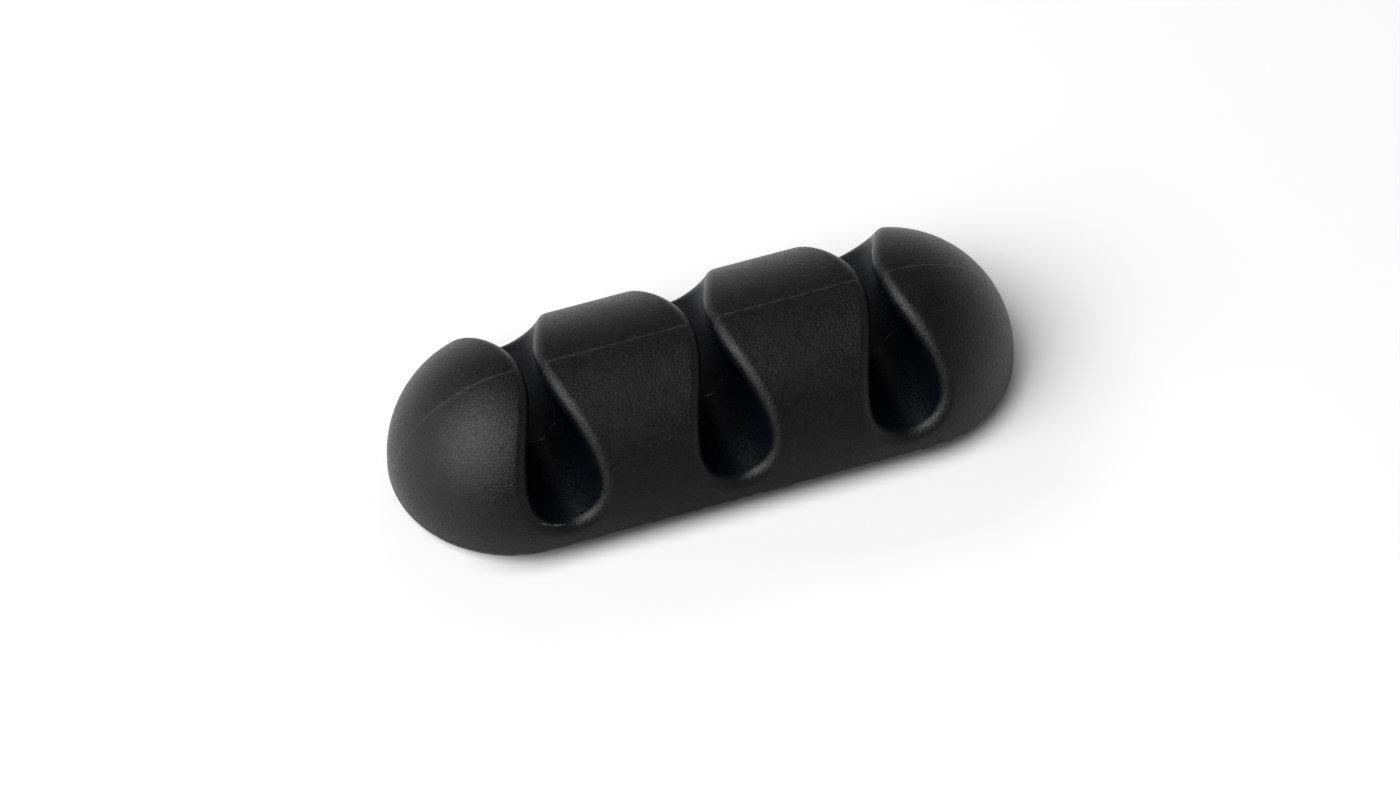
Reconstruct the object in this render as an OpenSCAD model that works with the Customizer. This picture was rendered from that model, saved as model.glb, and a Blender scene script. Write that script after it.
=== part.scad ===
// Adhesive cable clip: a soft moulded loaf with keyhole slots that hold cables,
// on a foam adhesive pad that is still covered by its release liner.
// Millimetres. +X runs along the clip, the slots run along Y, and the part
// stands on Z = 0, with the origin under the middle of the clip.

/* [Body] */
// Overall length of the moulded body
body_l = 57; // [52:0.5:80]
// Width of the body, which is also the diameter of its half-round top
body_w = 22; // [20:0.2:28]
// Height of the upright foot below the half-round top
foot_h = 0.8; // [0.4:0.1:2.5]

/* [Slots] */
// Number of cable slots
slot_count = 3; // [1:1:3]
// Distance between the middles of neighbouring slots
slot_pitch = 15.6; // [12:0.2:17]
// Diameter of the round cable channel at the bottom of a slot
channel_d = 6.3; // [4.5:0.1:7]
// Thickness of the floor under a channel
floor_t = 2.4; // [2:0.1:3.4]
// Width of the throat that a cable is pushed through
throat_w = 1.4; // [0.6:0.1:2.5]
// Radius of the rolled edge all round the mouth of a slot
rim_r = 1.1; // [0.6:0.1:1.4]

/* [Adhesive pad] */
// Thickness of the double-sided foam pad
pad_t = 0.8; // [0.5:0.1:1.5]
// How far the edge of the pad lies inside the edge of the body
pad_inset = 1.2; // [0.8:0.1:3]
// Thickness of the liner that covers the pad until it is used
liner_t = 0.12; // [0.08:0.01:0.2]

/* [Hidden] */
$fn = 96;
end_r = body_w / 2;
end_x = body_l / 2 - end_r;
body_z = pad_t + liner_t;
channel_r = channel_d / 2;
channel_z = floor_t + channel_r;

// The edge of a slot is rolled by a ball that stays inside the body and touches
// both its outside and the wall of the slot. These place the ball at the lips.
ball_r = end_r - rim_r;
lip_x = throat_w / 2 + rim_r;
lip_z = foot_h + ball_r;

// Above its middle the channel closes in a pointed arch that is tangent to the
// channel and to the rounded lips.
arch_r = (pow(channel_r - lip_x, 2) + pow(lip_z - channel_z, 2) - pow(rim_r, 2))
    / (2 * (channel_r + rim_r - lip_x));
arch_x = channel_r - arch_r;

arch_steps = 11;
channel_steps = 8;
roll_steps = 5;
overlap = 1;
outside = 0.3;
apart = 0.1;
skin = 0.05;

function unit(v) = v / norm(v);

// Where two circles in a plane cross, at the higher of the two places.
function crossing(a, ra, b, rb) =
    let (l = norm(b - a), along = (ra * ra - rb * rb + l * l) / (2 * l),
         off = sqrt(ra * ra - along * along), way = (b - a) / l,
         p = a + along * way + off * [way[1], -way[0]],
         q = a + along * way - off * [way[1], -way[0]])
    p[1] > q[1] ? p : q;

// Where the ball sits on the arch, on the side s of the slot at x, when its centre
// is rho from the spine of the loaf: on the straight loaf, or else on a domed end.
function arch_seat(x, s, rho) =
    let (z = foot_h + rho - channel_z,
         seat = [arch_x + sqrt(pow(arch_r + rim_r, 2) - z * z), foot_h + rho],
         px = x + s * seat[0])
    abs(px) <= end_x ? seat
        : crossing([arch_x, channel_z], arch_r + rim_r, [s * (sign(px) * end_x - x), foot_h], rho);

// Stops of the ball beside one wall of a slot, from the lip to the lowest point:
// its centre and the direction towards the wall. They pass the height where arch
// and channel meet half a step above it and half a step below.
function wall_stops(x, s) =
    let (wide = channel_r + rim_r,
         over = max(0, abs(x + s * wide) - end_x),
         low = asin(norm([channel_z - foot_h, over]) / ball_r))
    concat(
        [for (i = [0 : arch_steps])
            let (p = arch_seat(x, s, ball_r * sin(90 - i * (90 - low) / (arch_steps + 0.5))),
                 d = (p - [arch_x, channel_z]) / (arch_r + rim_r))
            [x + s * p[0], p[1], -s * d[0], -d[1]]],
        [for (i = [1 : channel_steps])
            let (a = -90 * (i - 0.5) / (channel_steps - 0.5))
            [x + s * wide * cos(a), channel_z + wide * sin(a), -s * cos(a), -sin(a)]]);

function turn(a, b, f) =
    let (w = acos(a * b)) (sin((1 - f) * w) * a + sin(f * w) * b) / sin(w);

// One slice of the roll at a stop: the rounded edge, and then a way back through
// the open slot and the air outside the body. In the throat this way keeps to its
// own side of the slot.
function roll_slice(x, stop, lip, side) =
    let (over = max(0, abs(stop[0]) - end_x),
         up = max(0, stop[1] - foot_h),
         y = lip ? 0 : side * sqrt(ball_r * ball_r - over * over - up * up),
         centre = [stop[0], y, stop[1]],
         inward = [stop[2], 0, stop[3]],
         outward = unit([sign(stop[0]) * over, y, up]),
         c = inward * outward,
         arc = [for (j = [0 : roll_steps]) rim_r * turn(inward, outward, j / roll_steps)],
         s = sign(stop[0] - x),
         room = stop[1] > channel_z ? abs(stop[0] - x) - apart : body_w,
         lift = rim_r + outside,
         far = min(rim_r + overlap, room / max(0.01, -s * inward[0])),
         corner = min((far - c * lift) / (1 - c * c),
            (room + s * lift * outward[0]) / max(0.01, s * (c * outward[0] - inward[0]))),
         first = arc[0] + 0.8 * (arc[0] - arc[1]),
         end = arc[roll_steps] + 0.8 * (arc[roll_steps] - arc[roll_steps - 1]))
    [for (p = concat([first], [for (j = [1 : roll_steps - 1]) arc[j]],
        [end, end + outside * outward, lift * outward + corner * (inward - c * outward), far * inward]))
        centre + p];

// The closed ring that rolls the whole edge of the slot at x.
module rim_roll(x) {
    right = wall_stops(x, 1);
    left = wall_stops(x, -1);
    last = len(right) - 1;
    stops = concat(right, [for (i = [last - 1 : -1 : 0]) left[i]]);
    slices = concat(
        [for (i = [0 : 2 * last]) roll_slice(x, stops[i], i % (2 * last) == 0, -1)],
        [for (i = [2 * last - 1 : -1 : 1]) roll_slice(x, stops[i], false, 1)]);
    n = len(slices);
    m = len(slices[0]);
    polyhedron(
        points = [for (s = slices) for (p = s) p],
        faces = [for (i = [0 : n - 1]) for (j = [0 : m - 1])
            let (a = i * m + j, b = i * m + (j + 1) % m,
                 c = ((i + 1) % n) * m + (j + 1) % m, d = ((i + 1) % n) * m + j)
            for (f = [[a, c, b], [a, d, c]]) f]);
}

// Section across the loaf: an upright foot under a half round.
module loaf_section() {
    translate([-end_r, 0]) square([body_w, foot_h]);
    intersection() {
        translate([0, foot_h]) circle(end_r);
        translate([-end_r, foot_h]) square([body_w, end_r]);
    }
}

module loaf() {
    rotate([90, 0, 90])
        translate([0, 0, -end_x]) linear_extrude(2 * end_x) loaf_section();
    for (side = [-1, 1])
        translate([side * end_x, 0, 0]) rotate(side * 90 - 180)
            rotate_extrude(angle = 180) intersection() {
                loaf_section();
                square([end_r, foot_h + end_r]);
            }
}

// Section of a slot: half a round channel, a pointed arch, and the throat between
// the rounded lips, which leaves a thin skin for the roll to take off.
module slot_section() {
    intersection() {
        circle(channel_r);
        translate([-channel_r, -channel_r]) square([2 * channel_r, channel_r]);
    }
    intersection() {
        translate([arch_x, 0]) circle(arch_r);
        translate([-arch_x, 0]) circle(arch_r);
        translate([-channel_r, 0]) square([2 * channel_r, body_w]);
    }
    difference() {
        lip_foot = (lip_z - channel_z) * arch_r / (arch_r + rim_r);
        translate([-lip_x, lip_foot]) square([2 * lip_x, body_w]);
        for (side = [-1, 1])
            translate([side * lip_x, lip_z - channel_z]) circle(rim_r + skin);
    }
}

module slot(x) {
    translate([x, 0, channel_z]) rotate([90, 0, 0])
        linear_extrude(body_w + 4, center = true) slot_section();
    rim_roll(x);
}

module clip_body() {
    color([0.12, 0.12, 0.13])
        translate([0, 0, body_z]) difference() {
            loaf();
            for (i = [0 : slot_count - 1]) slot((i - (slot_count - 1) / 2) * slot_pitch);
        }
}

module pad_outline() {
    square([2 * end_x, body_w - 2 * pad_inset], center = true);
    for (side = [-1, 1]) translate([side * end_x, 0]) circle(end_r - pad_inset);
}

module adhesive_pad() {
    color([0.32, 0.32, 0.33])
        translate([0, 0, liner_t]) linear_extrude(pad_t) pad_outline();
}

module release_liner() {
    color([0.93, 0.91, 0.84]) linear_extrude(liner_t) pad_outline();
}

clip_body();
adhesive_pad();
release_liner();
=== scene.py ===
import math

import bpy
import numpy as np
from mathutils import Matrix, Vector
from mathutils.geometry import delaunay_2d_cdt


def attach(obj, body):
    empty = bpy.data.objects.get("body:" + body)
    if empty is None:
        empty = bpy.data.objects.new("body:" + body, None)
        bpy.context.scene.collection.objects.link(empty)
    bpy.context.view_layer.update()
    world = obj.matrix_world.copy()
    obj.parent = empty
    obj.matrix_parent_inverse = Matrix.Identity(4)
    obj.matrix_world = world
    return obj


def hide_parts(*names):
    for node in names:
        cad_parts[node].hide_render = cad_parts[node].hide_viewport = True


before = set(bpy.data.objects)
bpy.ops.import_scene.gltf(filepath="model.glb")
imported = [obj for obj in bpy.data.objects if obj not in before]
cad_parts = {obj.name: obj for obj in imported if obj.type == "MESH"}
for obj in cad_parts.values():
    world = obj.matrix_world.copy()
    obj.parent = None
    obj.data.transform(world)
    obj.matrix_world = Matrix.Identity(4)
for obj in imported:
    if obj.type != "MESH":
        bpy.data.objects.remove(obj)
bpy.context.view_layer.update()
mm = 0.001
print("frame loaded")


class Wire:  # a socket that can stand in an expression
    def __init__(self, graph, socket):
        self.graph, self.socket = graph, socket

    def out(self, name):  # another output of the same node
        return Wire(self.graph, self.socket.node.outputs[name])

    def maths(self, operation, *values):
        return self.graph.node("Math", {"operation": operation}, dict(enumerate(values)))

    def __add__(self, other):
        return self.maths("ADD", self, other)

    def __radd__(self, other):
        return self.maths("ADD", other, self)

    def __sub__(self, other):
        return self.maths("SUBTRACT", self, other)

    def __rsub__(self, other):
        return self.maths("SUBTRACT", other, self)

    def __mul__(self, other):
        return self.maths("MULTIPLY", self, other)

    def __rmul__(self, other):
        return self.maths("MULTIPLY", other, self)

    def __truediv__(self, other):
        return self.maths("DIVIDE", self, other)

    def __rtruediv__(self, other):
        return self.maths("DIVIDE", other, self)

    def __pow__(self, other):
        return self.maths("POWER", self, other)

    def __rpow__(self, other):
        return self.maths("POWER", other, self)

    def __abs__(self):
        return self.maths("ABSOLUTE", self)

    def atLeast(self, other):
        return self.maths("MAXIMUM", self, other)


class Graph:
    def __init__(self, tree):
        self.tree = tree
        tree.nodes.clear()

    def node(self, kind, settings=None, inputs=None, out=0):
        made = self.tree.nodes.new("ShaderNode" + kind)
        for key, value in (settings or {}).items():
            setattr(made, key, value)
        for key, value in (inputs or {}).items():
            if isinstance(value, Wire):
                self.tree.links.new(value.socket, made.inputs[key])
            else:
                made.inputs[key].default_value = value
        return Wire(self, made.outputs[out]) if made.outputs else None

    def noise(self, where, size, detail=2.0, roughness=0.5):  # size of a feature in millimetres
        values = {"Vector": where, "Scale": 1 / (size * mm), "Detail": detail, "Roughness": roughness}
        return self.node("TexNoise", None, values)

    def fade(self, value, low, high, atLow=0.0, atHigh=1.0):
        values = {"Value": value, "From Min": low, "From Max": high, "To Min": atLow, "To Max": atHigh}
        return self.node("MapRange", {"interpolation_type": "SMOOTHSTEP"}, values)

    def blend(self, factor, first, second):
        return self.node("Mix", {"data_type": "RGBA"}, {0: factor, 6: first, 7: second}, 2)

    def opaque(self, colour, roughness, height, specular=0.5):  # height in millimetres
        shape = self.node("Bump", None, {"Height": height, "Distance": mm, "Strength": 1.0})
        surface = self.node("BsdfPrincipled", None, {
            "Base Color": colour,
            "Roughness": roughness,
            "Normal": shape,
            "Specular IOR Level": specular,
        })
        self.node("OutputMaterial", None, {"Surface": surface})


def newMaterial(name):
    material = bpy.data.materials.new(name)
    material.use_nodes = True
    return material, Graph(material.node_tree)


def grey(level):
    return (level, level, level, 1)


clip = {
    "length": 57.0,
    "width": 22.0,
    "foot": 0.8,  # upright wall under the half round
    "raised": 0.92,  # pad and liner under it
    "slots": 3,
    "pitch": 15.6,
    "channel": 6.3,
    "floor": 2.4,
    "throat": 1.4,
    "rim": 1.1,  # radius of the rolled edge
    "arris": 0.16,  # rounding of the lower edge
    # how finely the mesh is cut
    "archStops": 56,
    "channelStops": 34,
    "rimSteps": 10,
    "wallSteps": 28,
    "arrisSteps": 5,
    "spacing": 0.55,  # of its points on the outside
    "offBorder": 0.6,  # room that they leave, in spacings
    "offMouth": 0.5,
}


def spineEnd(c):  # where the straight loaf passes into a domed end
    return (c["length"] - c["width"]) / 2


def slotStops(c):  # ball centres beside a slot's wall from lip to lip, with the way to the wall
    channelR, ballR = c["channel"] / 2, c["width"] / 2 - c["rim"]
    channelZ = c["floor"] + channelR
    lipX, lipZ = c["throat"] / 2 + c["rim"], c["foot"] + ballR
    archR = (channelR - lipX) ** 2 + (lipZ - channelZ) ** 2 - c["rim"] ** 2
    archR /= 2 * (channelR + c["rim"] - lipX)
    rolled = archR + c["rim"]
    climb = np.linspace(math.pi / 2, math.asin((channelZ - c["foot"]) / ballR), c["archStops"] + 1)
    z = c["foot"] + ballR * np.sin(climb) - channelZ
    x = np.sqrt(rolled ** 2 - z ** 2)
    arch = np.stack([channelR - archR + x, channelZ + z, -x / rolled, -z / rolled], 1)
    a = np.linspace(0, -math.pi / 2, c["channelStops"] + 1)[1:]
    rolled = channelR + c["rim"]
    bowl = np.stack([rolled * np.cos(a), channelZ + rolled * np.sin(a), -np.cos(a), -np.sin(a)], 1)
    right = np.vstack([arch, bowl])
    return np.vstack([right, right[-2::-1] * [-1, 1, -1, 1]])


def rolledEdge(c, x, stops):  # points and normals of the front half of a slot's rolled edge
    ballR = c["width"] / 2 - c["rim"]
    px = x + stops[:, 0]
    over = np.maximum(0, np.abs(px) - spineEnd(c))
    up = np.minimum(np.maximum(0, stops[:, 1] - c["foot"]), np.sqrt(ballR ** 2 - over ** 2))
    y = np.sqrt(np.maximum(0, ballR ** 2 - over ** 2 - up ** 2))
    y[[0, -1]] = 0
    centre = np.stack([px, -y, stops[:, 1]], 1)
    inward = np.stack([stops[:, 2], 0 * y, stops[:, 3]], 1)
    outward = np.stack([np.sign(px) * over, -y, up], 1)
    outward /= np.linalg.norm(outward, axis=1)[:, None]
    w = np.arccos(np.sum(inward * outward, 1))[:, None, None]
    f = np.linspace(0, 1, c["rimSteps"] + 1)[None, :, None]
    normals = (np.sin((1 - f) * w) * inward[:, None] + np.sin(f * w) * outward[:, None]) / np.sin(w)
    return centre[:, None] + c["rim"] * normals, normals


def outline(endX, straight, bend):  # stadium as spine position and direction, anticlockwise
    along = np.linspace(-endX, endX, straight + 1)
    turn = np.linspace(-math.pi / 2, math.pi / 2, bend + 1)
    front = [(x, 0.0, -1.0) for x in along]
    right = [(endX, math.cos(t), math.sin(t)) for t in turn[1:-1]]
    back = [(-x, 0.0, 1.0) for x, _, _ in front]
    left = [(-x, -u, -v) for x, u, v in right]
    return np.array(front + right + back + left)


def unroll(c, normals, x):  # a place on the outside as a point of the flattened plan
    endX = spineEnd(c)
    side = np.hypot(normals[:, 0], normals[:, 1])
    arc = c["width"] / 2 * np.arccos(np.clip(normals[:, 2], -1, 1)) / np.maximum(side, 1e-9)
    return np.stack([np.clip(x, -endX, endX) + normals[:, 0] * arc, normals[:, 1] * arc], 1)


def rollUp(c, flat):  # the other way round: points and normals of the outside
    r, endX = c["width"] / 2, spineEnd(c)
    spine = np.clip(flat[:, 0], -endX, endX)
    away = np.stack([flat[:, 0] - spine, flat[:, 1]], 1)
    far = np.hypot(away[:, 0], away[:, 1])
    away /= np.maximum(far, 1e-9)[:, None]
    theta = np.minimum(far / r, math.pi / 2)
    drop = np.maximum(0, far - r * math.pi / 2)  # down the upright foot
    normals = np.stack([away[:, 0] * np.sin(theta), away[:, 1] * np.sin(theta), np.cos(theta)], 1)
    points = r * normals + np.stack([spine, 0 * spine, c["foot"] - drop], 1)
    return points, normals


def insideLoop(points, loop):  # which points of a plan lie in a closed loop
    x, y = points[:, 0, None], points[:, 1, None]
    (x1, y1), (x2, y2) = loop.T, np.roll(loop, -1, 0).T
    crosses = ((y1 > y) != (y2 > y)) & (x < (x2 - x1) * (y - y1) / np.where(y2 == y1, 1, y2 - y1) + x1)
    return crosses.sum(1) % 2 == 1


class Skin:  # collects points, normals and triangles by index, for one closed mesh
    def __init__(self):
        self.points, self.normals, self.faces, self.count = [], [], [], 0

    def add(self, points, normals):
        shape = points.shape[:-1]
        size = int(np.prod(shape))
        self.points.append(points.reshape(-1, 3))
        self.normals.append(np.broadcast_to(normals, points.shape).reshape(-1, 3))
        index = np.arange(self.count, self.count + size).reshape(shape)
        self.count += size
        return index

    def triangles(self, faces):
        self.faces.append(np.asarray(faces).reshape(-1, 3))

    def grid(self, index):
        a, b, c, d = index[:-1, :-1], index[1:, :-1], index[1:, 1:], index[:-1, 1:]
        self.triangles(np.stack([a, b, c], -1))
        self.triangles(np.stack([a, c, d], -1))

    def closeFlat(self, ring, rim, level, way):  # joins a stadium ring to its spine
        places, which = np.unique(rim[:, 0].round(6), return_inverse=True)
        spine = np.stack([places, 0 * places, 0 * places + level], 1)
        middle = self.add(spine, np.array([0, 0, way]))[which.ravel()]
        nextRing, nextMiddle = np.roll(ring, -1), np.roll(middle, -1)
        self.triangles(np.stack([ring, nextRing, nextMiddle], 1))
        self.triangles(np.stack([ring, nextMiddle, middle], 1))

    def build(self, name, lift):
        points, normals, faces = (np.vstack(part) for part in (self.points, self.normals, self.faces))
        a, b, c = faces.T
        faces = faces[(a != b) & (b != c) & (a != c)]
        p = points[faces]
        facing = np.cross(p[:, 1] - p[:, 0], p[:, 2] - p[:, 0])
        away = np.sum(facing * normals[faces].sum(1), 1) < 0
        faces[away] = faces[away][:, [0, 2, 1]]
        used = np.unique(faces)
        renumber = np.zeros(len(points), int)
        renumber[used] = np.arange(len(used))
        mesh = bpy.data.meshes.new(name)
        mesh.from_pydata(((points[used] + [0, 0, lift]) * mm).tolist(), [], renumber[faces].tolist())
        mesh.shade_smooth()
        mesh.normals_split_custom_set_from_vertices(normals[used].tolist())
        made = bpy.data.objects.new(name, mesh)
        bpy.context.collection.objects.link(made)
        return made


def addSlot(skin, c, x, stops):  # both rolled edges and the wall; returns the mouth's edge, also flattened
    mirror = np.array([1, -1, 1])
    points, normals = rolledEdge(c, x, stops)
    front = skin.add(points, normals)
    back = skin.add(points * mirror, normals * mirror)
    back[[0, -1]] = front[[0, -1]]
    across = np.linspace(1, -1, c["wallSteps"] + 1)[None, :, None]
    wall = points[:, None, 0] * (np.array([0, 1, 0]) * across + np.array([1, 0, 1]))
    sides = skin.add(wall, normals[:, None, 0])
    sides[:, 0], sides[:, -1] = front[:, 0], back[:, 0]
    sides[0], sides[-1] = front[0, 0], front[-1, 0]
    for patch in (front, back, sides):
        skin.grid(patch)
    loop = np.concatenate([front[:, -1], back[-2:0:-1, -1]])
    edge = np.concatenate([normals[:, -1], (normals * mirror)[-2:0:-1, -1]])
    place = np.concatenate([points[:, -1, 0], points[-2:0:-1, -1, 0]])
    return loop, unroll(c, edge, place)


def coverOutside(skin, c, mouths, rim):  # from the mouths down to the lower edge, in the flattened plan
    endX, step = spineEnd(c), c["spacing"]
    reach = c["width"] / 2 * math.pi / 2 + c["foot"] - c["arris"]
    border = np.stack([rim[:, 0] + rim[:, 1] * reach, rim[:, 2] * reach], 1)
    rows = enumerate(np.arange(-reach, reach, step * math.sqrt(3) / 2))
    columns = np.arange(-endX - reach, endX + reach, step)
    inner = np.array([(x + (j % 2) * step / 2, y) for j, y in rows for x in columns])
    spine = np.clip(inner[:, 0], -endX, endX)
    keep = np.hypot(inner[:, 0] - spine, inner[:, 1]) < reach - step * c["offBorder"]
    for _, flat in mouths:
        near = np.min(np.linalg.norm(inner[:, None] - flat[None, ::2], axis=2), 1)
        keep &= ~insideLoop(inner, flat) & (near > step * c["offMouth"])
    inner = inner[keep]
    borderIndex = skin.add(*rollUp(c, border))
    innerIndex = skin.add(*rollUp(c, inner))
    known = np.concatenate([loop for loop, _ in mouths] + [borderIndex, innerIndex])
    flats = [flat for _, flat in mouths] + [border, inner]
    links, start = [], 0
    for flat in flats[:-1]:
        n = len(flat)
        links += [(start + k, start + (k + 1) % n) for k in range(n)]
        start += n
    flat = np.vstack(flats)
    places = [Vector(p) for p in flat.tolist()]
    _, _, cut, origins, _, _ = delaunay_2d_cdt(places, links, [], 0, 1e-6)
    source = np.array([origin[0] if origin else -1 for origin in origins])
    tris = source[np.array(cut)]
    tris = tris[(tris >= 0).all(1)]
    for _, hole in mouths:
        tris = tris[~insideLoop(flat[tris].mean(1), hole)]
    skin.triangles(known[tris])
    return borderIndex


def roundArris(skin, c, border, rim):  # the rounded lower edge; returns its last ring
    turn = np.linspace(0, math.pi / 2, c["arrisSteps"] + 1)[1:, None]
    side = c["arris"] * np.cos(turn) + c["width"] / 2 - c["arris"]
    level = c["arris"] * (1 - np.sin(turn))
    spine, ways = rim[:, 0], rim[:, 1:]
    ring = np.stack([spine + ways[:, 0] * side, ways[:, 1] * side, 0 * spine + level], -1)
    slope = np.stack([ways[:, 0] * np.cos(turn), ways[:, 1] * np.cos(turn), 0 * spine - np.sin(turn)], -1)
    arris = np.vstack([border[None], skin.add(ring, slope)])
    skin.grid(np.hstack([arris, arris[:, :1]]))
    return arris[-1]


def makeClip(c):
    skin = Skin()
    stops = slotStops(c)
    middles = [(i - (c["slots"] - 1) / 2) * c["pitch"] for i in range(c["slots"])]
    mouths = [addSlot(skin, c, x, stops) for x in middles]
    around = 2 * int(math.pi * (c["width"] / 2) / c["spacing"] / 2)
    rim = outline(spineEnd(c), int(2 * spineEnd(c) / c["spacing"]), around)
    border = coverOutside(skin, c, mouths, rim)
    skin.closeFlat(roundArris(skin, c, border, rim), rim, 0.0, -1)
    return skin.build("clipBody", c["raised"])


rubber = {
    "tone": 0.003,
    "filmTone": 0.008,  # where it has been handled
    # painted shade: a darker bluish tone deep inside the slots
    "slotShadeTone": (0.0014, 0.0020, 0.0045, 1),
    "dustTone": 0.12,
    # pale tone of the flash, also used as a painted highlight on the burr
    "flashAndHighlightTone": 0.2,
    "roughness": 0.36,
    "slotRoughness": 0.34,
    "patchRoughness": 0.12,  # these three add to it or take from it
    "fineRoughness": 1.0,
    "seamRoughness": -0.1,
    "specular": 0.39,
    # each noise: size of a feature in millimetres, detail, roughness
    "waves": (5.0, 2),
    "patches": (1.6, 4, 0.6),
    "grain": (0.19, 2, 0.7),
    "fine": (0.11, 1),
    "dust": (0.22, 1),
    "bends": (9.0, 1),  # of the mould seam
    "breaks": (0.8, 3),  # where the seam and the burr are weak
    "nubs": (0.5, 1),  # small swellings of the seam
    # heights in millimetres
    "waveHeight": 0.04,
    "patchHeight": 0.006,
    "grainHeight": 0.065,
    "fineHeight": 0.03,
    "seamHeight": 0.035,
    "seamStep": 0.012,  # the mould's back half lies this much lower
    "burrHeight": 0.02,
    # how much of a surface is covered
    "filmOnPatches": 0.5,
    "filmOnWaves": 0.3,
    "dustCover": 0.35,
    "seamCover": 0.4,
    # the burr's share is a painted highlight along the lower edge
    "burrHighlightCover": 0.6,
    "cleanSlots": 0.85,  # how much of the dust and the seam the slots lack
    "smoothSlots": 0.7,  # and of the grain
    # places and widths in millimetres
    "outOfSlot": 0.1,  # depth below the outside where a slot's finish and its painted shade start
    "bendReach": 0.16,
    "seamWidth": 0.07,
    "nubWidth": 0.05,
    "stepWidth": 0.04,
    "burrLevel": 0.19,
    "flashMiddle": (-17.1, -10.33),
    "deepInSlot": 1.1,  # and where it is full, in radii of the rolled edge
    # each fade: from, to, and what it gives there
    "hook": (0.7, 1.7, 0.8, 0.0),  # the seam turns forward at the lips
    "breakDepth": (0.35, 0.65, 0.25, 1.0),
    "nubEdge": (0.58, 0.68),
    "dustEdge": (0.76, 0.82),
    "filmPatches": (0.35, 0.75),
    "filmWaves": (0.4, 0.7),
    "burrWidth": (0.07, 0.13, 1.0, 0.0),
    "flashLength": (0.9, 1.15, 1.0, 0.0),
    "flashWidth": (0.02, 0.07, 1.0, 0.0),
    "flashAbove": (1.5, 2.0),
    "flashGrain": (0.4, 0.55),
}


def rubberMaterial(look):
    material, g = newMaterial("moulded rubber of the clip")
    here = g.node("TexCoord", out="Object")
    place = g.node("SeparateXYZ", None, {"Vector": here}, "X")
    x, y, fromBase = place / mm, place.out("Y") / mm, place.out("Z") / mm - clip["raised"]
    z = (fromBase - clip["foot"]).atLeast(0)
    over = (abs(x) - spineEnd(clip)).atLeast(0)
    fromSpine = (over * over + y * y + z * z) ** 0.5
    deep, shallow = clip["rim"] * look["deepInSlot"], look["outOfSlot"]
    inSlot = g.fade(fromSpine, clip["width"] / 2 - deep, clip["width"] / 2 - shallow, 1.0, 0.0)
    waves, patches, grain, fine = (
        g.noise(here, *look[name]) for name in ("waves", "patches", "grain", "fine")
    )

    # the mould seam runs along the top, weak in places and with nubs
    fromSlot = g.node("Math", {"operation": "PINGPONG"}, {0: x, 1: clip["pitch"] / 2})
    bends = (g.noise(here, *look["bends"]) - 0.5) * look["bendReach"]
    away = y + (bends + g.fade(fromSlot, *look["hook"]))
    ragged = g.fade(g.noise(here, *look["breaks"]), *look["breakDepth"])
    nubs = g.fade(g.noise(here, *look["nubs"]), *look["nubEdge"])
    seam = g.fade(abs(away), 0.0, look["seamWidth"] + nubs * look["nubWidth"], 1.0, 0.0)
    seam = seam * ragged.atLeast(nubs)
    step = g.fade(away, -look["stepWidth"], look["stepWidth"])

    # burr along the lower edge, its pale colour a painted highlight, and a short flash at the front of the
    # left slot's floor
    burrAndHighlight = g.fade(abs(fromBase - look["burrLevel"]), *look["burrWidth"])
    flashX, flashY = look["flashMiddle"]
    flash = g.fade(abs(y - flashY), *look["flashWidth"]) * g.fade(abs(x - flashX), *look["flashLength"])
    flash = flash * g.fade(fromBase, *look["flashAbove"]) * g.fade(grain, *look["flashGrain"])

    height = waves * look["waveHeight"] + patches * look["patchHeight"]
    grainy = grain * look["grainHeight"] + fine * look["fineHeight"]
    height = height + grainy * (1 - inSlot * look["smoothSlots"])
    height = height + seam * look["seamHeight"] - step * look["seamStep"] + burrAndHighlight * look["burrHeight"]

    film = g.fade(patches, *look["filmPatches"]) * look["filmOnPatches"]
    film = film + g.fade(waves, *look["filmWaves"]) * look["filmOnWaves"]
    dust = g.fade(g.noise(here, *look["dust"]), *look["dustEdge"])
    dusty = (dust * look["dustCover"] + seam * look["seamCover"]) * (1 - inSlot * look["cleanSlots"])
    # painted highlight: the burr's pale colour stands in for light caught by the lower edge; the flash is
    # paler rubber
    flashAndBurrHighlight = (burrAndHighlight * ragged * look["burrHighlightCover"]).atLeast(flash)
    colour = g.blend(film, grey(look["tone"]), grey(look["filmTone"]))
    # painted shade: the inside of the slots takes a darker bluish tone
    colour = g.blend(inSlot, colour, look["slotShadeTone"])
    colour = g.blend(dusty, colour, grey(look["dustTone"]))
    colour = g.blend(flashAndBurrHighlight, colour, grey(look["flashAndHighlightTone"]))

    roughness = look["roughness"] - inSlot * (look["roughness"] - look["slotRoughness"])
    roughness = roughness + (patches - 0.5) * look["patchRoughness"] + (fine - 0.5) * look["fineRoughness"]
    g.opaque(colour, roughness + seam * look["seamRoughness"], height, look["specular"])
    return material


clipBody = makeClip(clip)
clipBody.data.materials.append(rubberMaterial(rubber))
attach(clipBody, "root")
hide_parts("clip_body")
print("clip body made,", len(clipBody.data.polygons), "triangles")


pad = {
    "inset": 1.2,
    "thick": 0.8,
    "above": 0.12,  # the liner under it
    "hollow": 0.06,  # how far the cut edge of the foam draws in
    "edge": [(0, 0), (1, 0.3), (1.2, 0.55), (0.8, 0.8), (0, 1)],  # shares of hollow and thickness
    "steps": 60,  # along a side and round an end
    "crease": 40,  # degrees from which an edge is sharp
}


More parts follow.
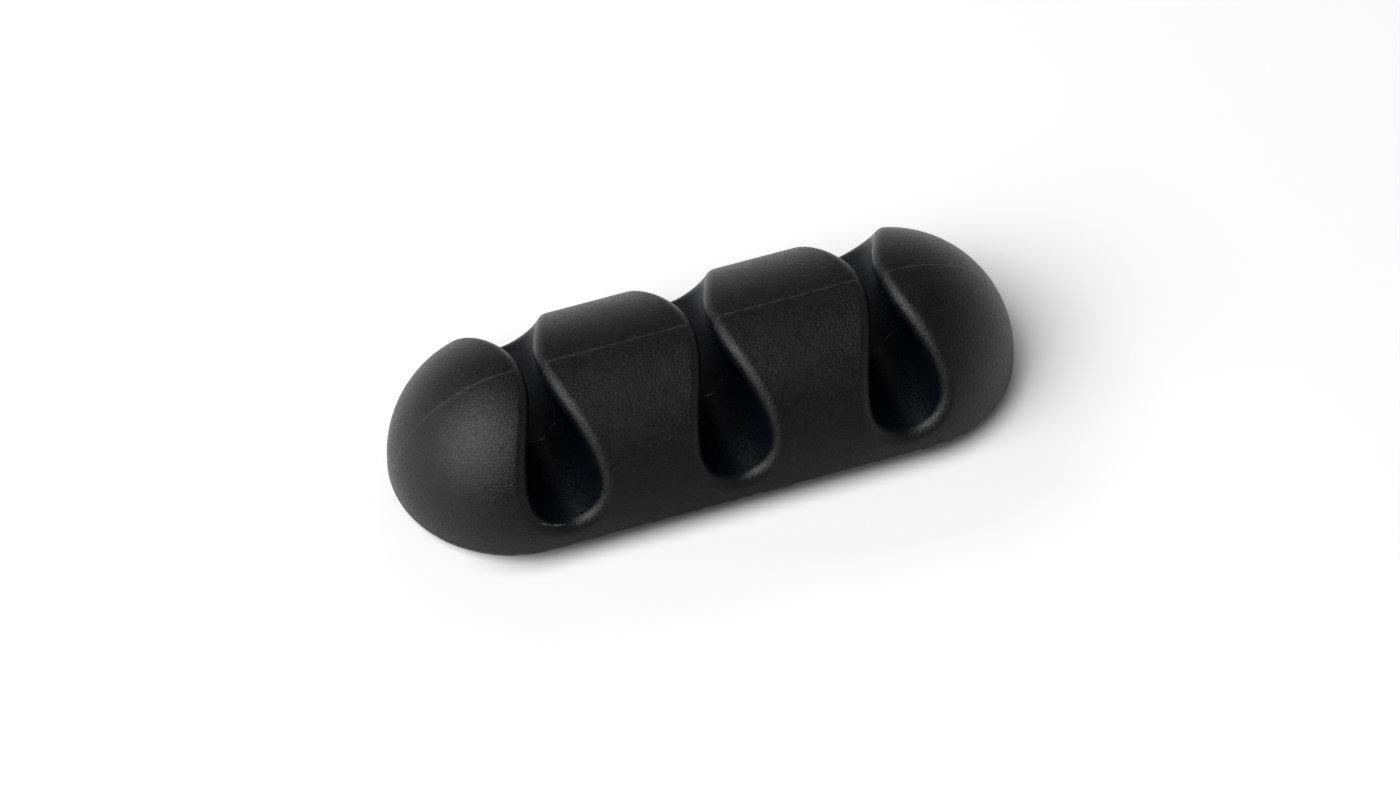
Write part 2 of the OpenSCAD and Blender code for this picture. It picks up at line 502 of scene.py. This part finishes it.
def stadiumPiece(name, profile, lift):  # profile of (inset, height), from the bottom up
    skin = Skin()
    rim = outline(spineEnd(clip), pad["steps"], pad["steps"])
    spine, ways = rim[:, 0], rim[:, 1:]
    rows = []
    for inset, level in profile:
        r = clip["width"] / 2 - pad["inset"] - inset
        points = np.stack([spine + ways[:, 0] * r, ways[:, 1] * r, 0 * spine + level], 1)
        rows.append(skin.add(points, np.stack([ways[:, 0], ways[:, 1], 0 * spine], 1)))
    rows = np.array(rows)
    skin.grid(np.hstack([rows, rows[:, :1]]))
    skin.closeFlat(rows[0], rim, profile[0][1], -1)
    skin.closeFlat(rows[-1], rim, profile[-1][1], 1)
    made = skin.build(name, lift)
    made.data.normals_split_custom_set([(0, 0, 0)] * len(made.data.loops))  # back to plain normals
    made.data.set_sharp_from_angle(angle=math.radians(pad["crease"]))
    return made


foam = {
    "tone": 0.05,
    "dark": 0.6,  # parts of the tone, in the cells and between them
    "light": 1.5,
    "cell": 0.16,  # millimetres
    "depth": 0.05,
    "cellEdge": (0.1, 0.7),
    "cellShare": 0.7,
    "cloud": (1.2, 3),
    "cloudShare": 0.3,
    "roughness": 0.85,
    "cloudRoughness": 0.1,
}


def foamMaterial(look):
    material, g = newMaterial("foam of the adhesive pad")
    here = g.node("TexCoord", out="Object")
    cells = g.node("TexVoronoi", None, {"Vector": here, "Scale": 1 / (look["cell"] * mm)}, "Distance")
    cloud = g.noise(here, *look["cloud"])
    pale = g.fade(cells, *look["cellEdge"]) * look["cellShare"] + cloud * look["cloudShare"]
    colour = g.blend(pale, grey(look["tone"] * look["dark"]), grey(look["tone"] * look["light"]))
    g.opaque(colour, look["roughness"] - cloud * look["cloudRoughness"], cells * look["depth"])
    return material


adhesivePad = stadiumPiece(
    "adhesivePad",
    [(pad["hollow"] * inward, pad["thick"] * up) for inward, up in pad["edge"]],
    pad["above"],
)
adhesivePad.data.materials.append(foamMaterial(foam))
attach(adhesivePad, "root")
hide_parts("adhesive_pad")
print("adhesive pad made")


liner = {
    "thick": 0.12,
    "tone": (0.72, 0.68, 0.58, 1),
    "fibreTone": (0.60, 0.56, 0.47, 1),
    "fibres": (0.35, 5, 0.65),  # millimetres, detail and roughness, as for the cloud
    "fibreEdge": (0.35, 0.7),
    "fibreShare": 0.6,
    "fibreHeight": 0.01,
    "cloud": (6.0, 2),
    "cloudShare": 0.2,
    "cloudHeight": 0.05,
    "roughness": 0.42,
    "fibreRoughness": 0.1,
}


def linerMaterial(look):
    material, g = newMaterial("coated paper of the release liner")
    here = g.node("TexCoord", out="Object")
    fibres, cloud = g.noise(here, *look["fibres"]), g.noise(here, *look["cloud"])
    dull = g.fade(fibres, *look["fibreEdge"]) * look["fibreShare"] + cloud * look["cloudShare"]
    height = fibres * look["fibreHeight"] + cloud * look["cloudHeight"]
    colour = g.blend(dull, look["tone"], look["fibreTone"])
    g.opaque(colour, look["roughness"] + fibres * look["fibreRoughness"], height)
    return material


releaseLiner = stadiumPiece("releaseLiner", [(0, 0), (0, liner["thick"])], 0)
releaseLiner.data.materials.append(linerMaterial(liner))
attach(releaseLiner, "root")
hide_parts("release_liner")
print("release liner made")


studio = {
    "tableSize": 3.0,  # metres
    "tableGap": 0.03,  # millimetres under the liner
    "table": 0.42,  # paleness of the table that lights the clip, in front
    "tableBehind": 1.0,
    "tableTurn": (-12.0, 22.0),  # millimetres over which the one passes to the other
    "tableSlant": 0.8,
    "tableSeen": 1.0,  # paleness of the table in the picture
    "tableNearShade": 0.89,  # and round the clip, a painted shade
    "near": (13.0, 26.0),  # millimetres from the clip's spine over which the painted shade grows paler
    "nearForward": 6.0,
    "nearCloud": (12.0, 2),
    "nearRagged": 4.0,
    "far": (50.0, 200.0),  # millimetres over which it turns white, so that level views have no horizon
    "lift": 0.19,  # light added to it for the camera alone
    "shadowTone": 0.03,
    "shadow": 0.85,
    "shadowReach": (-1.2, 2.0, 1.0, 0.0),  # millimetres from the clip's edge
    "shadowRight": (-14.0, 4.0),
    "shadowSlant": 1.5,
    "shadowFront": (-8.0, 2.0, 1.0, 0.35),
    "sky": 0.12,
    "glow": 0.85,  # low behind the clip
    "glowHigh": (0.03, 0.33, 1.0, 0.0),
    "glowBack": (-0.3, 0.5),
    "glowSlant": 0.6,
    "beside": 0.45,  # share of the glow to the right of the clip
    "besideHigh": (0.1, 0.65, 1.0, 0.0),
    "besideRight": (0.3, 0.9),
    "key": 6.9,  # watts
    "keyRound": -102.0,  # degrees from the back of the clip, negative to its left
    "keyHigh": 46.0,
    "keyAway": 0.7,
    "keySize": (0.72, 0.8),
}


def tableMaterial(look):
    material, g = newMaterial("white table")
    here = g.node("TexCoord", out="Object")
    place = g.node("SeparateXYZ", None, {"Vector": here}, "X")
    x, y = place / mm, place.out("Y") / mm
    beyond, forward = (abs(x) - spineEnd(clip)).atLeast(0), y + look["nearForward"]
    away = (beyond * beyond + forward * forward) ** 0.5
    away = away + g.noise(here, *look["nearCloud"]) * look["nearRagged"]
    fromEdge = (beyond * beyond + y * y) ** 0.5 - clip["width"] / 2
    # painted contact shadow on the table, strongest along the clip's front and right edges
    contactShadow = g.fade(fromEdge, *look["shadowReach"])
    contactShadow = contactShadow * g.fade(x - y * look["shadowSlant"], *look["shadowRight"])
    contactShadow = contactShadow * g.fade(y, *look["shadowFront"])
    # painted shade: the table is darker round the clip
    tone = g.blend(g.fade(away, *look["near"]), grey(look["tableNearShade"]), grey(look["tableSeen"]))
    tone = g.blend(contactShadow * look["shadow"], tone, grey(look["shadowTone"]))
    behind = g.fade(y + abs(x) * look["tableSlant"], *look["tableTurn"])
    lit = g.blend(behind, grey(look["table"]), grey(look["tableBehind"]))

    lit = g.node("BsdfDiffuse", None, {"Color": lit})
    seen = g.node("BsdfDiffuse", None, {"Color": tone})
    lift = g.node("Emission", None, {"Color": tone, "Strength": look["lift"]})
    seen = g.node("AddShader", None, {0: seen, 1: lift})
    white = g.node("Emission", None, {"Color": grey(1), "Strength": 1.0})
    seen = g.node("MixShader", None, {0: g.fade(away, *look["far"]), 1: seen, 2: white})
    surface = g.node("MixShader", None, {0: g.node("LightPath", out="Is Camera Ray"), 1: lit, 2: seen})
    g.node("OutputMaterial", None, {"Surface": surface})
    return material


def makeTable(look):
    half = look["tableSize"] / 2
    mesh = bpy.data.meshes.new("table")
    corners = [(-half, -half, 0), (half, -half, 0), (half, half, 0), (-half, half, 0)]
    mesh.from_pydata(corners, [], [(0, 1, 2, 3)])
    table = bpy.data.objects.new("table", mesh)
    table.location.z = -look["tableGap"] * mm
    bpy.context.collection.objects.link(table)
    mesh.materials.append(tableMaterial(look))


def softbox(name, around, high, distance, size, power):
    light = bpy.data.lights.new(name, "AREA")
    light.shape, light.size, light.size_y = "RECTANGLE", size[0], size[1]
    light.energy = power
    a, e = math.radians(around), math.radians(high)
    away = Vector((math.sin(a) * math.cos(e), math.cos(a) * math.cos(e), math.sin(e)))
    made = bpy.data.objects.new(name, light)
    made.location = away * distance
    made.rotation_euler = away.to_track_quat("Z", "Y").to_euler()
    bpy.context.collection.objects.link(made)


def makeSky(look):
    world = bpy.data.worlds.new("studio")
    bpy.context.scene.world = world
    world.use_nodes = True
    g = Graph(world.node_tree)
    high, low, seen = (
        g.node("Background", None, {"Color": grey(1), "Strength": strength})
        for strength in (look["sky"], look["glow"], 1.0)
    )
    up = g.node("SeparateXYZ", None, {"Vector": g.node("TexCoord", out="Generated")}, "Z")
    back, right = up.out("Y"), up.out("X")
    glow = g.fade(up, *look["glowHigh"]) * g.fade(back + right * look["glowSlant"], *look["glowBack"])
    beside = g.fade(right, *look["besideRight"]) * g.fade(up, *look["besideHigh"])
    lit = g.node("MixShader", None, {0: glow.atLeast(beside * look["beside"]), 1: high, 2: low})
    surface = g.node("MixShader", None, {0: g.node("LightPath", out="Is Camera Ray"), 1: lit, 2: seen})
    g.node("OutputWorld", None, {"Surface": surface})


makeTable(studio)
makeSky(studio)
softbox("key", studio["keyRound"], studio["keyHigh"], studio["keyAway"], studio["keySize"], studio["key"])
print("table and light made")


shot = {
    "round": 19.06,  # degrees to the left of square on
    "down": 50.6,
    "distance": 0.585,
    "lens": 171.0,
    "sensor": 36.0,
    "aside": -0.19,  # millimetres from the middle of the body's lower edge
    "above": 0.62,
}


def makeCamera(look):
    a, e = math.radians(look["round"]), math.radians(look["down"])
    back = Vector((-math.sin(a) * math.cos(e), -math.cos(a) * math.cos(e), math.sin(e)))
    right = Vector((math.cos(a), -math.sin(a), 0))
    up = back.cross(right)
    aim = Vector((0, 0, clip["raised"])) * mm + right * look["aside"] * mm + up * look["above"] * mm
    data = bpy.data.cameras.new("camera")
    data.lens, data.sensor_width = look["lens"], look["sensor"]
    data.clip_start, data.clip_end = 0.01, 10
    camera = bpy.data.objects.new("camera", data)
    camera.matrix_world = Matrix((right, up, back)).transposed().to_4x4()
    camera.location = aim + back * look["distance"]
    bpy.context.collection.objects.link(camera)
    bpy.context.scene.camera = camera


makeCamera(shot)
bpy.context.scene.view_settings.view_transform = "Standard"
print("camera made")
